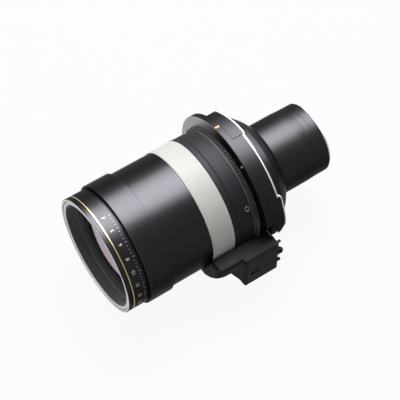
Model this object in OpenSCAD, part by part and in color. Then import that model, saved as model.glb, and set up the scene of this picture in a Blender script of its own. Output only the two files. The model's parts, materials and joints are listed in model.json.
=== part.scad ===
// Interchangeable zoom lens for a large projector.
// The optical axis is Y, with the front glass at -Y. Y = 0 is the seating face of the mount.
// X points to the side that carries the drive housing, and Z points up.
// Angles are measured about the axis from +X towards +Z.

/* [Front group] */
// Radius of the name ring at the front
name_r = 64; // [62:0.5:66]
// Distance of the front rim from the seating face
front_reach = 175.5; // [172:0.5:180]
// Radius of the light trim ring on the front rim
trim_r = 63.4; // [63:0.1:63.6]
// Inner radius of the trim ring
trim_bore_r = 58.5; // [58:0.1:60]
// Thickness of the trim ring
trim_t = 1.3; // [1:0.1:2]
// Distance of the thin metal line from the front rim
line_set = 5.6; // [4:0.1:8]
// Width of the thin metal line
line_w = 0.9; // [0.5:0.1:1.5]
// Length of the name ring with its trim
name_len = 21.4; // [20:0.1:23]
// Width of the dark groove behind the name ring
groove_w = 2.3; // [1.5:0.1:3]
// Radius at the bottom of that groove
groove_r = 62; // [61:0.1:63]
// Outer radius of the front barrel
sleeve_r = 66.5; // [66:0.1:68]
// Length of the front barrel that shows behind the groove
sleeve_len = 27.4; // [24:0.1:30]
// Radius of the crests of the ridged light trap
ridge_r = 56.4; // [55:0.1:57]
// Depth of one ridge
ridge_depth = 1; // [0.5:0.1:1.5]
// Number of ridges
ridge_count = 9; // [6:1:12]
// Pitch of the ridges
ridge_pitch = 1.25; // [1:0.05:1.4]
// Clear radius of the front glass
glass_clear_r = 53; // [52:0.1:54]

/* [Barrels] */
// Outer radius of the fixed barrel that the front barrel slides on
slide_barrel_r = 64.2; // [63.5:0.1:65]
// Radius of the silver band
band_r = 64.9; // [64.5:0.1:66]
// Distance of the silver band's front edge from the seating face
band_front = 76.5; // [74:0.1:79]
// Width of the silver band
band_w = 25.8; // [22:0.1:28]
// Width of the black ring with the polished edge, behind the band
edge_ring_w = 6.8; // [5:0.1:8]
// Outer radius of the main barrel
main_r = 64.8; // [64:0.1:66]
// Distance of the main barrel's rear shoulder from the seating face
main_rear = 27.2; // [26.8:0.1:27.8]
// Outer radius of the hub that carries the zoom gear
hub_r = 62; // [61:0.1:63]
// Width of the gap in which a sliding or turning fit runs, on the radius
run_gap = 0.05; // [0.02:0.01:0.1]

/* [Zoom gear] */
// Teeth on a full turn of the zoom gear
zoom_teeth = 144; // [120:8:160]
// Pitch radius of the zoom gear
zoom_pitch_r = 66.3; // [66:0.1:67]
// Teeth left out for the smooth land
land_teeth = 7; // [4:1:9]
// Teeth on the zoom motor's pinion
zoom_pinion_teeth = 16; // [16:2:18]
// Direction of the zoom motor from the axis, in degrees
zoom_motor_dir = -17.5; // [-22.5:2.5:-15]
// Turn of the zoom ring between its stops, in degrees
zoom_turn = 100; // [60:5:100]
// Travel of the front zoom group, towards the rear
variator_travel = 28; // [10:1:28]
// Travel of the rear zoom group, towards the front
compensator_travel = 10; // [4:1:10]

/* [Focus drive] */
// Teeth on the focus ring
focus_teeth = 130; // [130:1:132]
// Pitch radius of the focus ring's gear
focus_pitch_r = 59.9; // [59.5:0.1:60]
// Teeth on the focus motor's pinion
focus_pinion_teeth = 14; // [12:2:14]
// Direction of the focus motor from the axis, in degrees
focus_motor_dir = -33; // [-35:1:-31]

/* [Mount] */
// Radius of the mount flange
flange_r = 77.6; // [77.4:0.1:78.4]
// Distance of the flange's front face from the seating face
flange_front = 20.2; // [20:0.1:20.4]
// Thickness of the flange
flange_t = 6.8; // [6:0.1:7]
// Radius of the bayonet's lugs
lug_r = 77; // [76.4:0.1:77.4]
// Radius of the arc between the two upper lugs
arc_r = 76.3; // [75.5:0.1:76.4]
// Thickness of the wear pads on the lugs
pad_t = 1.3; // [1:0.1:1.6]
// Angle that one lug takes up, in degrees
lug_width = 39; // [36:1:40]
// Radius of the ring that carries the lugs
bayonet_core_r = 70; // [69:0.1:71]
// Largest radius of the shoulder behind the bayonet
shoulder_r = 66.5; // [65:0.1:68]
// Radius at the shoulder's rear edge
shoulder_rear_r = 53.8; // [52:0.1:55]
// Distance of the shoulder's rear edge behind the seating face
shoulder_rear = 19.9; // [18:0.1:22]

/* [Rear barrel] */
// Radius of the rear barrel at its root
rear_r = 39.8; // [39:0.1:41]
// Radius of the rear barrel at its end
rear_end_r = 39.2; // [38:0.1:39.8]
// Distance of the rear barrel's end behind the seating face
rear_end = 86.4; // [84:0.1:90]
// Thickness of the light ring in the rear end
rear_ring_t = 2.2; // [1.5:0.1:3]

/* [Drive housing] */
// Height of the top plate's upper face against the axis
plate_z = -9; // [-12:0.5:-8]
// Thickness of the housing's walls
wall = 1.8; // [1.5:0.1:2]
// Reach of the front cover's side from the axis
cover_x = 82.4; // [81:0.1:84]
// Reach of the connector block's side from the axis
block_x = 84.9; // [84:0.1:86]
// Distance of the cover's front face from the seating face
cover_front = 80.6; // [80:0.1:81]
// Distance of the step between cover and block from the seating face
block_front = 51.6; // [50:0.1:53]
// Distance of the block's rear face from the seating face
block_rear = 10.6; // [10:0.1:12]
// Height of the block's underside against the axis
block_z = -62.4; // [-64:0.1:-60]
// Radius of the connector's guide pins
guide_pin_r = 3.6; // [3:0.1:4.2]
// Length of the guide pins behind the block
guide_pin_len = 11; // [9:0.1:12]

/* [Hidden] */
$fn = 128;

black = [0.10, 0.10, 0.11];
satin_black = [0.14, 0.14, 0.15];
grey_black = [0.27, 0.27, 0.28];
silver = [0.80, 0.79, 0.76];
bright = [0.88, 0.88, 0.88];
glass_tint = [0.75, 0.80, 0.88, 0.5];
brass = [0.80, 0.66, 0.38];
plastic = [0.20, 0.21, 0.23];

// Stations along the axis
rim_y = -front_reach;
line_y = rim_y + line_set;
name_rear_y = rim_y + name_len;
sleeve_front_y = name_rear_y + groove_w;
sleeve_rear_y = sleeve_front_y + sleeve_len;
ridge_rear_y = rim_y + trim_t + ridge_count * ridge_pitch;
glass_y = rim_y + 21;
band_y = -band_front;
band_rear_y = band_y + band_w;
edge_rear_y = band_rear_y + edge_ring_w;
main_rear_y = -main_rear;
flange_y = -flange_front;
flange_rear_y = flange_y + flange_t;
bayonet_rear_y = -1.5;
// The open seam between the flange and the lugs behind it.
seam = 0.6;
lug_dirs = [11.5, 107, 191.5, 287];
lug_rears = [3.2, 1.5, 3.2, 1.5];
cover_y = -cover_front;
block_y = -block_front;
block_rear_y = -block_rear;

// Radii inside the barrels
sleeve_bore_r = slide_barrel_r + run_gap;
slide_barrel_bore = 61.6;
cell_r = 60;
cell_front_y = glass_y - 1.5;
cell_shoulder_y = rim_y + 40.5;
skirt_r = 55;
skirt_rear_y = rim_y + 60;
glass_r = 54.5;
guide_bore = 47;
guide_r = 50;
guide_front_y = -112;
cam_bore = guide_r + run_gap;
cam_r = 53;
cam_front_y = -108;
cam_rear_y = flange_y - 1;
moving_cell_r = guide_bore - run_gap;
moving_glass_r = 43;
pin_r = 2;
slot_half = pin_r + run_gap;
pin_in = 44;
pin_out = cam_r - 0.4;
pin_dirs = [90, 210, 330];
variator_y = -94;
variator_len = 20;
compensator_y = -35;
compensator_len = 16;
slide_barrel_front_y = sleeve_rear_y - 10;
key_dirs = [30, 150, 270];
key_w = 4;
key_gap = 0.08;

// Rear barrel
rear_root_r = 38.5;
shoulder_end_y = 26;

// Gears: a tooth is a straight-sided trapezium, given as parts of the tooth pitch
zoom_module = 2 * zoom_pitch_r / zoom_teeth;
zoom_pinion_pitch_r = zoom_module * zoom_pinion_teeth / 2;
zoom_axis_r = zoom_pitch_r + zoom_pinion_pitch_r;
zoom_gear_y = -24.8;
zoom_gear_w = 3.8;
zoom_ring_bore = hub_r + run_gap;
zoom_ring_r = 64.4;
zoom_ring_clear = 0.2;
focus_module = 2 * focus_pitch_r / focus_teeth;
focus_pinion_pitch_r = focus_module * focus_pinion_teeth / 2;
focus_axis_r = focus_pitch_r + focus_pinion_pitch_r;
focus_gear_y = -78;
focus_gear_w = 4;
focus_ring_front_y = -130;
focus_ring_rear_y = -69;
focus_ring_bore = skirt_r + run_gap;
focus_ring_r = 57.5;
addendum = 0.8;
dedendum = 1.05;
arm_dir = 180;
arm_width = 5;

// Motors
motor_r = 7.2;
focus_motor_r = 6.4;
motor_shaft_r = 1.5;
zoom_motor_y = -60;
zoom_motor_len = 30;
focus_motor_y = -67;
focus_motor_len = 28;
pinion_hub_r = 3.2;

function at(dir, r) = [r * cos(dir), r * sin(dir)];
zoom_place = at(zoom_motor_dir, zoom_axis_r);
focus_place = at(focus_motor_dir, focus_axis_r);

// Housing
inner_gap_r = 66.2;
gear_gap_r = 67.7;
cover_low_x = 55;
cover_low_z = -47.5;
cover_mid_x = 65.3;
cover_mid_z = -39.7;
cover_side_z = -20;
plate_inner_x = 62;
plate_rear_y = flange_y + 8;
step_z = 13.5;
notch_z = plate_z + 0.4;
cover_round = 3.6;
cover_corner = 10;
block_corner = 5.5;
block_in_x = 50;
block_slant = 0.45;
notch_gap = 1;
insert_x = [61.6, 73.4];
insert_z = [-57, -30.6];
guide_pin_places = [[77.6, -40.2], [55, -56]];
small_pin_place = [80, -52.5];
board_t = 1.6;

// A turned piece: a closed outline of [radius, y] points, spun about the Y axis.
module turned(outline) {
    rotate([-90, 0, 0]) rotate_extrude() polygon(outline);
}

// A plain tube along Y.
module tube(r_out, r_in, y0, y1) {
    turned([[r_in, y0], [r_out, y0], [r_out, y1], [r_in, y1]]);
}

// A flat outline in X and Z, carried along Y from y0 to y1.
module along_y(y0, y1) {
    translate([0, y1, 0]) rotate([90, 0, 0]) linear_extrude(y1 - y0) children();
}

// A flat outline in X and Y, carried up from z0 to z1.
module along_z(z0, z1) {
    translate([0, 0, z0]) linear_extrude(z1 - z0) children();
}

// A flat outline in Y and Z, carried along X from x0 to x1.
module along_x(x0, x1) {
    translate([x0, 0, 0]) rotate([90, 0, 90]) linear_extrude(x1 - x0) children();
}

// A pie slice about the Y axis between two directions.
module slice(a0, a1, r, y0, y1) {
    steps = max(2, ceil((a1 - a0) / 20));
    step = (a1 - a0) / steps;
    far = r / cos(step / 2);
    along_y(y0, y1) polygon(concat([[0, 0]],
        [for (i = [0 : steps]) [far * cos(a0 + i * step), far * sin(a0 + i * step)]]));
}

// A rod that points away from the axis, from radius r0 to r1, in the direction a.
module spoke(a, y, r, r0, r1) {
    rotate([0, -a, 0]) translate([r0, y, 0]) rotate([0, 90, 0]) cylinder(r = r, h = r1 - r0);
}

// A rod along Y at the place [x, z].
module rod(place, r, y0, y1) {
    translate([place[0], y0, place[1]]) rotate([-90, 0, 0]) cylinder(r = r, h = y1 - y0);
}

// A rectangle with round corners, all arcs true.
module round_rect(x0, x1, z0, z1, r) {
    translate([x0 + r, z0]) square([x1 - x0 - 2 * r, z1 - z0]);
    translate([x0, z0 + r]) square([x1 - x0, z1 - z0 - 2 * r]);
    for (x = [x0 + r, x1 - r], z = [z0 + r, z1 - r]) translate([x, z]) circle(r);
}

// The outline of a toothed wheel. Teeth are numbered from the direction a0, and those from skip on
// are left out, where the rim is smooth at the pitch radius.
module teeth_outline(count, pitch_r, module_size, a0, skip = 9999) {
    root = pitch_r - dedendum * module_size;
    tip = pitch_r + addendum * module_size;
    pitch = 360 / count;
    shape = [[-0.31, root], [-0.115, tip], [0.115, tip], [0.31, root]];
    polygon([for (i = [0 : count - 1], p = shape)
        let (r = i < skip ? p[1] : pitch_r, a = a0 + (i + p[0]) * pitch) [r * cos(a), r * sin(a)]]);
}

// A slot through a tube wall that winds from [a0, y0] to [a1, y1], in straight runs.
module winding_slot(a0, y0, a1, y1, r0, r1, half) {
    runs = 6;
    mid_r = (r0 + r1) / 2;
    for (i = [0 : runs - 1]) {
        span = (a1 - a0) / runs;
        rise = (y1 - y0) / runs;
        mid_a = a0 + (i + 0.5) * span;
        reach = mid_r * sin(span / 2);
        slope = atan2(rise, 2 * reach);
        rotate([0, -mid_a, 0]) translate([r0, y0 + (i + 0.5) * rise, 0]) rotate([0, 90, 0])
            linear_extrude(r1 - r0) rotate(90 - slope)
                translate([-half, -reach / cos(slope) - 0.15])
                    square([2 * half, 2 * reach / cos(slope) + 0.3]);
    }
    for (i = [0 : runs])
        spoke(a0 + i * (a1 - a0) / runs, y0 + i * (y1 - y0) / runs, half + 0.04, r0, r1);
}

// A lens element: an outline with a curved front and rear, each given by its bulge at the centre.
// A positive bulge stands out of the glass.
function cap(r_edge, y_edge, bulge, side) =
    [for (i = [0 : 16]) let (r = r_edge * i / 16) [r, y_edge + side * bulge * (1 - pow(r / r_edge, 2))]];

// A pan-head or countersunk screw whose head faces the rear.
module rear_screw(place, y, head_r, head_h, shank_r, shank_l) {
    difference() {
        union() {
            rod(place, head_r, y - head_h, y);
            rod(place, shank_r, y - head_h - shank_l, y - head_h);
        }
        translate([place[0] - head_r, y - 0.7, place[1] - 0.35]) cube([2 * head_r, 1, 0.7]);
        translate([place[0] - 0.35, y - 0.7, place[1] - head_r]) cube([0.7, 1, 2 * head_r]);
    }
}

module trim_ring() {
    groove_r = (trim_r + trim_bore_r) / 2;
    color(bright) turned([[trim_bore_r, rim_y], [groove_r - 0.3, rim_y], [groove_r - 0.3, rim_y + 0.5],
        [groove_r + 0.3, rim_y + 0.5], [groove_r + 0.3, rim_y], [trim_r - 0.3, rim_y],
        [trim_r, rim_y + 0.3], [trim_r, rim_y + trim_t], [trim_bore_r - 1, rim_y + trim_t],
        [trim_bore_r - 1, rim_y + 0.7]]);
}

module name_ring() {
    ridges = [for (i = [0 : ridge_count - 1], p = [[ridge_r, 0], [ridge_r + ridge_depth, 0.5]])
        [p[0], rim_y + trim_t + (i + p[1]) * ridge_pitch]];
    color(satin_black) turned(concat(
        ridges,
        [[ridge_r, ridge_rear_y], [ridge_r, glass_y], [cell_r, glass_y], [cell_r, name_rear_y],
        [name_r - 1.2, name_rear_y], [name_r, name_rear_y - 0.5], [name_r, line_y + line_w],
        [name_r - 0.8, line_y + line_w], [name_r - 0.8, line_y], [name_r, line_y],
        [name_r, rim_y + 0.6], [name_r - 0.3, rim_y + 0.3], [trim_r, rim_y + 0.3],
        [trim_r, rim_y + trim_t]]));
}

module metal_line() {
    color(brass) tube(name_r + 0.06, name_r - 0.8, line_y, line_y + line_w);
}

module front_retaining_ring() {
    color(black) turned([[ridge_r, ridge_rear_y + 0.6], [ridge_r, glass_y], [glass_r, glass_y],
        [glass_clear_r, glass_y - 0.6], [glass_clear_r, glass_y - 2],
        [ridge_r - 1.4, ridge_rear_y + 0.6]]);
}

module front_element() {
    color(glass_tint) turned(concat(
        cap(glass_r, glass_y, 9, -1),
        [for (i = [16 : -1 : 0]) cap(glass_r, glass_y + 9, 0, 1)[i]]));
}

module front_spacer() {
    color(black) tube(glass_r, 50.5, glass_y + 9, glass_y + 13);
}

module second_element() {
    color(glass_tint) turned(concat(
        cap(52, glass_y + 16.4, 4.4, -1),
        [for (i = [16 : -1 : 0]) cap(52, glass_y + 24, 7, -1)[i]]));
}

module front_cell() {
    color(satin_black) turned([[glass_r, glass_y], [cell_r, glass_y], [cell_r, cell_shoulder_y],
        [skirt_r, cell_shoulder_y], [skirt_r, skirt_rear_y], [52.6, skirt_rear_y], [50, glass_y + 27],
        [50, glass_y + 24], [52, glass_y + 24], [52, glass_y + 13], [glass_r, glass_y + 13]]);
}

module front_barrel() {
    color(satin_black) difference() {
        turned([[cell_r, name_rear_y], [groove_r, name_rear_y], [groove_r, sleeve_front_y],
            [sleeve_r - 0.6, sleeve_front_y], [sleeve_r, sleeve_front_y + 0.6],
            [sleeve_r, sleeve_rear_y - 0.5], [sleeve_r - 0.5, sleeve_rear_y],
            [sleeve_bore_r, sleeve_rear_y], [sleeve_bore_r, slide_barrel_front_y - 6],
            [cell_r, slide_barrel_front_y - 6]]);
        for (a = key_dirs) rotate([0, -a, 0])
            translate([sleeve_bore_r - 1, slide_barrel_front_y - 6.5, -key_w / 2 - key_gap])
                cube([2, 30, key_w + 2 * key_gap]);
    }
}

// A block on the sliding barrel's outside, which runs in a groove of the front barrel.
module key_block(a, y, len, height) {
    rotate([0, -a, 0]) translate([slide_barrel_r - 1, y, -key_w / 2]) cube([1 + height, len, key_w]);
}

module slide_keys() {
    color(brass) for (a = key_dirs) key_block(a, slide_barrel_front_y + 2, 4, 0.8);
}

module slide_barrel() {
    color(satin_black) difference() {
        slide_barrel_body();
        for (a = key_dirs) key_block(a, slide_barrel_front_y + 2, 4, 2);
        drive_window(focus_gear_y - 0.9, band_y + 5);
    }
}

module slide_barrel_body() {
    turned([[slide_barrel_bore, slide_barrel_front_y],
        [slide_barrel_r, slide_barrel_front_y], [slide_barrel_r, band_y], [hub_r + 1, band_y],
        [hub_r + 1, band_y + 4], [slide_barrel_bore - 0.6, band_y + 4],
        [slide_barrel_bore - 0.6, band_y - 3], [slide_barrel_bore, band_y - 3]]);
}

// The window under the cover, where the focus pinion and motor reach into the barrel.
module drive_window(y0, y1) {
    slice(focus_motor_dir - 9, focus_motor_dir + 9, 90, y0, y1);
}

module silver_band() {
    color(silver) difference() {
        tube(band_r, hub_r + 1, band_y, band_rear_y);
        drive_window(band_y - 1, band_rear_y + 1);
        tube(hub_r + 1, hub_r - 4, band_y - 1, band_y + 4);
    }
}

module edge_ring() {
    color(black) difference() {
        turned([[hub_r + 1, band_rear_y], [band_r - 0.8, band_rear_y], [band_r + 0.1, band_rear_y + 0.9],
            [band_r + 0.1, edge_rear_y - 0.7], [band_r - 0.6, edge_rear_y], [hub_r + 1, edge_rear_y]]);
        drive_window(band_rear_y - 1, edge_rear_y + 1);
    }
}

module main_barrel() {
    color(grey_black) difference() {
        turned([[58.6, band_y + 4], [hub_r + 1, band_y + 4], [hub_r + 1, edge_rear_y],
            [main_r - 0.4, edge_rear_y], [main_r, edge_rear_y + 0.5], [main_r, main_rear_y],
            [hub_r, main_rear_y], [hub_r, flange_y], [58.6, flange_y]]);
        drive_window(band_y - 1, zoom_motor_y + 21.4);
        slice(arm_dir - 4, arm_dir + zoom_turn + 4, 80,
            zoom_gear_y - 0.2, zoom_gear_y + zoom_gear_w + 0.2);
        for (a = [30.6, 150.6, 270.6]) spoke(a, -30.8, 1.5, 57, 70);
        for (a = [30.6, 150.6, 270.6]) spoke(a, -30.8, 2.9, main_r - 1.6, 70);
        tube(62, 58.6, band_y, band_y + 4);
    }
}

module barrel_screws() {
    color(bright) for (a = [30.6, 150.6, 270.6]) difference() {
        union() {
            spoke(a, -30.8, 2.5, main_r - 1.6, main_r - 0.3);
            spoke(a, -30.8, 1.5, 59, main_r - 1.6);
        }
        rotate([0, -a, 0]) translate([main_r - 0.9, -30.8 - 2.5, -0.35]) cube([1, 5, 0.7]);
        rotate([0, -a, 0]) translate([main_r - 0.9, -30.8 - 0.35, -2.5]) cube([1, 0.7, 5]);
    }
}

module zoom_gear_ring() {
    smooth_from = zoom_teeth - land_teeth;
    color(black) difference() {
        union() {
            tube(zoom_ring_r, zoom_ring_bore, main_rear_y + zoom_ring_clear, flange_y - zoom_ring_clear);
            along_y(zoom_gear_y, zoom_gear_y + zoom_gear_w)
                teeth_outline(zoom_teeth, zoom_pitch_r, zoom_module,
                    zoom_motor_dir + 360 * 15 / zoom_teeth, smooth_from);
        }
        rod([0, 0], zoom_ring_bore, main_rear_y - 1, flange_y + 1);
    }
}

module zoom_drive_arm() {
    color(bright) intersection() {
        tube(zoom_ring_bore, cam_r, zoom_gear_y, zoom_gear_y + zoom_gear_w);
        slice(arm_dir - arm_width / 2, arm_dir + arm_width / 2, 80, -30, 0);
    }
}

module cam_tube() {
    color(silver) difference() {
        tube(cam_r, cam_bore, cam_front_y, cam_rear_y);
        for (a = pin_dirs) {
            winding_slot(a, variator_y, a - zoom_turn, variator_y + variator_travel,
                cam_bore - 2, cam_r + 2, slot_half);
            winding_slot(a, compensator_y, a - zoom_turn, compensator_y - compensator_travel,
                cam_bore - 2, cam_r + 2, slot_half);
        }
    }
}

module guide_slot(a, y0, y1) {
    rotate([0, -a, 0]) translate([guide_bore - 2, y0, -slot_half])
        cube([guide_r - guide_bore + 4, y1 - y0, 2 * slot_half]);
    for (y = [y0, y1]) spoke(a, y, slot_half, guide_bore - 2, guide_r + 2);
}

module guide_tube() {
    color(grey_black) difference() {
        turned([[guide_bore, guide_front_y], [cam_r - 0.2, guide_front_y],
            [cam_r - 0.2, cam_front_y - 0.5],
            [guide_r, cam_front_y - 0.5], [guide_r, flange_rear_y], [guide_bore, flange_rear_y]]);
        for (a = pin_dirs) {
            guide_slot(a, variator_y, variator_y + variator_travel);
            guide_slot(a, compensator_y - compensator_travel, compensator_y);
        }
    }
}

module moving_cell(y, len) {
    difference() {
        turned([[moving_glass_r, y - len / 2 + 2], [moving_cell_r, y - len / 2],
            [moving_cell_r, y + len / 2], [moving_glass_r - 2, y + len / 2],
            [moving_glass_r - 2, y + len / 2 - 3], [moving_glass_r, y + len / 2 - 3]]);
        for (a = pin_dirs) spoke(a, y, pin_r, pin_in, guide_r);
    }
}

module cam_pins(y) {
    for (a = pin_dirs) spoke(a, y, pin_r, pin_in, pin_out);
}

module variator_cell() {
    color(satin_black) moving_cell(variator_y, variator_len);
}

module variator_lens() {
    front = variator_y - variator_len / 2 + 4;
    color(glass_tint) turned(concat(
        cap(moving_glass_r, front, -5, -1),
        [for (i = [16 : -1 : 0]) cap(moving_glass_r, variator_y + variator_len / 2 - 3, -4, 1)[i]]));
}

module variator_pins() {
    color(brass) cam_pins(variator_y);
}

module compensator_cell() {
    color(satin_black) moving_cell(compensator_y, compensator_len);
}

module compensator_lens() {
    front = compensator_y - compensator_len / 2 + 4;
    color(glass_tint) turned(concat(
        cap(moving_glass_r, front, 2, -1),
        [for (i = [16 : -1 : 0])
            cap(moving_glass_r, compensator_y + compensator_len / 2 - 3.3, 2.5, 1)[i]]));
}

module compensator_pins() {
    color(brass) cam_pins(compensator_y);
}

module focus_ring() {
    color(silver) difference() {
        union() {
            tube(focus_ring_r, focus_ring_bore, focus_ring_front_y, focus_ring_rear_y);
            along_y(focus_gear_y, focus_gear_y + focus_gear_w)
                teeth_outline(focus_teeth, focus_pitch_r, focus_module, focus_motor_dir);
        }
        rod([0, 0], focus_ring_bore, focus_ring_front_y - 1, focus_ring_rear_y + 1);
    }
}

// The room that the connector block and its plate take out of the flange and bayonet.
module block_notch(y0, y1) {
    difference() {
        union() {
            along_y(y0, y1) translate([block_in_x - notch_gap, block_z - 30])
                square([60, 30 - block_z + notch_z]);
            along_y(flange_y - 1, plate_rear_y + 0.2) translate([block_in_x - notch_gap, notch_z - 1])
                square([60, step_z - notch_z + 1]);
        }
        rod([0, 0], 66, flange_y - 2, y1 + 1);
    }
}

module mount_flange() {
    color(satin_black) difference() {
        turned([[guide_r, flange_y], [flange_r - 0.5, flange_y], [flange_r, flange_y + 0.5],
            [flange_r, flange_rear_y], [guide_r, flange_rear_y]]);
        block_notch(flange_y - 1, flange_rear_y + 1);
        screw_holes(1.6, flange_y - 1, flange_rear_y + 1);
    }
}

// Two lugs run away from the middle arc at the larger angle (1), and two at the smaller one (-1).
lug_sides = [-1, 1, -1, 1];

// The outline of one lug in X and Z, with its far end a little bevelled.
module lug_outline(i, r) {
    side = lug_sides[i];
    near = lug_dirs[i] - side * lug_width / 2;
    far = lug_dirs[i] + side * lug_width / 2;
    bevel = side * 3;
    reach = r / cos(9);
    intersection() {
        difference() {
            circle(r);
            circle(60);
        }
        polygon([[0, 0], [reach * cos(near), reach * sin(near)],
            [reach * cos(near + side * 18), reach * sin(near + side * 18)],
            [reach * cos(far - bevel), reach * sin(far - bevel)],
            [r * cos(far - bevel), r * sin(far - bevel)],
            [0.97 * r * cos(far), 0.97 * r * sin(far)]]);
    }
}

// The ramp on a lug's rear face, as [x, y] points. It falls away towards the lug's far end.
function ramp_line(i, y) = lug_sides[i] > 0
    ? [[60, y], [14, y], [-12, y - 1.9], [-40, y - 3.9]]
    : [[60, y], [-10, y], [-19.9, y - 5.4], [-21.6, y - 8.4], [-40, y - 8.4]];

module ramp_prism(i, outline) {
    rotate([0, 90 - lug_dirs[i], 0]) mirror([lug_sides[i] > 0 ? 0 : 1, 0, 0]) along_z(60, 90)
        polygon(outline);
}

// Everything behind the ramp.
module lug_ramp(i, y) {
    ramp_prism(i, concat(ramp_line(i, y), [[-40, 40], [60, 40]]));
}

// The sheet of a pad's thickness in front of the ramp.
module lug_band(i, y) {
    back = ramp_line(i, y);
    ramp_prism(i, concat(back, [for (k = [len(back) - 1 : -1 : 0]) [back[k][0], back[k][1] - pad_t]]));
}

module lug(i, r, y0, y1) {
    difference() {
        along_y(y0, y1) lug_outline(i, r);
        lug_ramp(i, y1);
    }
}

// The arc that joins the two upper lugs, at nearly the lugs' radius.
module key_arc(y0, y1, r) {
    intersection() {
        tube(r, 60, y0, y1);
        slice(lug_dirs[0] + lug_width / 2 - 1, lug_dirs[1] - lug_width / 2 + 1, 100, y0 - 1, y1 + 1);
    }
}

// The slanting end of the lower lug, which leaves a gap in front of its tip.
module lug_claw() {
    along_x(74, 90) polygon([[flange_rear_y + seam, 13], [-9.8, 5], [-5.2, -6.4], [-5.2, -30],
        [flange_rear_y + seam, -30]]);
}

module screw_holes(r, y0, y1) {
    for (a = [20 : 60 : 320]) rod([56 * cos(a), 56 * sin(a)], r, y0, y1);
}

module bayonet_ring() {
    color(satin_black) difference() {
        union() {
            tube(bayonet_core_r, guide_r, flange_rear_y, bayonet_rear_y);
            for (i = [0 : 3]) lug(i, lug_r, flange_rear_y + seam, lug_rears[i] - pad_t);
            key_arc(flange_rear_y + seam, bayonet_rear_y, arc_r);
        }
        lug_claw();
        tube(bayonet_core_r - 2, 10, bayonet_rear_y, 10);
        block_notch(flange_rear_y - 1, 10);
        screw_holes(1.6, flange_rear_y - 1, 1);
        screw_holes(3.1, bayonet_rear_y - 2, 1);
    }
}

// The seat plate is a flat ring, with a band behind the arc between the two upper lugs.
module seat_plate() {
    color(bright) difference() {
        union() {
            tube(bayonet_core_r - 2, shoulder_r + 0.05, bayonet_rear_y, 0);
            intersection() {
                tube(arc_r, bayonet_core_r - 3, bayonet_rear_y, 0);
                slice(lug_dirs[0] + lug_width / 2 + 0.3, lug_dirs[1] - lug_width / 2 - 0.3, 100,
                    bayonet_rear_y - 1, 1);
            }
        }
        block_notch(flange_rear_y - 1, 10);
    }
}

// One pad lies on the ramp of each lug.
module wear_pads() {
    color(bright) for (i = [0 : 3]) difference() {
        intersection() {
            along_y(-14, 6) lug_outline(i, lug_r);
            lug_band(i, lug_rears[i]);
        }
        rod([0, 0], bayonet_core_r + 0.05, -15, 10);
        if (i == 0) lug_claw();
        if (i == 0) block_notch(flange_rear_y - 1, 10);
    }
}

module flange_screws() {
    color(bright) for (a = [20 : 60 : 320])
        rear_screw([56 * cos(a), 56 * sin(a)], bayonet_rear_y - 0.2, 3, 1.8, 1.6, 12);
}

module index_mark() {
    color("darkorange") intersection() {
        tube(flange_r + 0.2, flange_r, flange_y + 1, flange_y + 5.8);
        slice(103.5 - 0.9, 103.5 + 0.9, 90, flange_y, flange_rear_y);
    }
}

module mount_shoulder() {
    color(satin_black) turned([
        [rear_root_r, bayonet_rear_y], [shoulder_r, bayonet_rear_y], [shoulder_r, 1.6],
        [shoulder_r - 1.6, 6], [shoulder_r - 5.4, 12], [shoulder_rear_r, shoulder_rear],
        [46.2, shoulder_end_y], [rear_root_r, shoulder_end_y]]);
}

module rear_barrel() {
    color(satin_black) turned([[36, -10], [rear_root_r, -10], [rear_root_r, shoulder_end_y],
        [rear_r, shoulder_end_y], [rear_r, 62], [rear_end_r + 0.15, rear_end - 16],
        [rear_end_r - 0.2, rear_end - 15.7], [rear_end_r - 0.2, rear_end - 15.2],
        [rear_end_r + 0.1, rear_end - 14.9], [rear_end_r + 0.05, rear_end - 9.5],
        [rear_end_r - 0.25, rear_end - 9.2], [rear_end_r - 0.25, rear_end - 8.7],
        [rear_end_r, rear_end - 8.4], [rear_end_r, rear_end], [37.6, rear_end], [37.6, rear_end - 4],
        [34.5, rear_end - 4], [34.5, rear_end - 14], [36, rear_end - 14]]);
}

module aperture_stop() {
    color(black) difference() {
        tube(36, 20, -2, 0);
        for (a = [0 : 60 : 300]) rod([28 * cos(a), 28 * sin(a)], 1.2, -3, 1);
    }
}

module relay_lens() {
    color(glass_tint) turned(concat(
        cap(36, 22, 5, -1),
        [for (i = [16 : -1 : 0]) cap(36, 30, 4, 1)[i]]));
}

module rear_lens() {
    color(glass_tint) turned(concat(
        cap(34.5, rear_end - 12, 4, -1),
        [for (i = [16 : -1 : 0]) cap(34.5, rear_end - 4, 3.2, 1)[i]]));
}

module rear_ring() {
    color(bright) turned([
        [33.4, rear_end - 3.7], [34.5, rear_end - 4], [37.6, rear_end - 4], [37.6, rear_end],
        [rear_end_r - 0.4, rear_end], [rear_end_r - 1.6, rear_end + rear_ring_t],
        [36, rear_end + rear_ring_t], [33.4, rear_end - 1.5]]);
}

// The cross-section of the cover in X and Z, drawn in by inset all round.
module cover_section(inset) {
    r = cover_round;
    difference() {
        union() {
            polygon([[0, plate_z - inset], [cover_x - r, plate_z - inset],
                [cover_x - inset, plate_z - r], [cover_x - inset, cover_side_z + 0.45 * inset],
                [cover_mid_x - 0.6 * inset, cover_mid_z + 0.8 * inset],
                [cover_low_x - 0.5 * inset, cover_low_z + 0.85 * inset], [0, cover_low_z + 0.85 * inset]]);
            translate([cover_x - r, plate_z - r]) circle(r - inset);
        }
        circle(inner_gap_r + inset);
        square([200, 200], center = false);
        translate([-200, -100]) square([200 + cover_low_x - 16, 200]);
    }
}

module cover_plan(inset) {
    r = cover_corner;
    difference() {
        union() {
            translate([0, cover_y + r]) square([cover_x, 40]);
            translate([0, cover_y + inset]) square([cover_x - r, 40]);
            translate([cover_x - r, cover_y + r]) circle(r - inset);
        }
        translate([0, block_y - inset]) square([200, 60]);
    }
}

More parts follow.
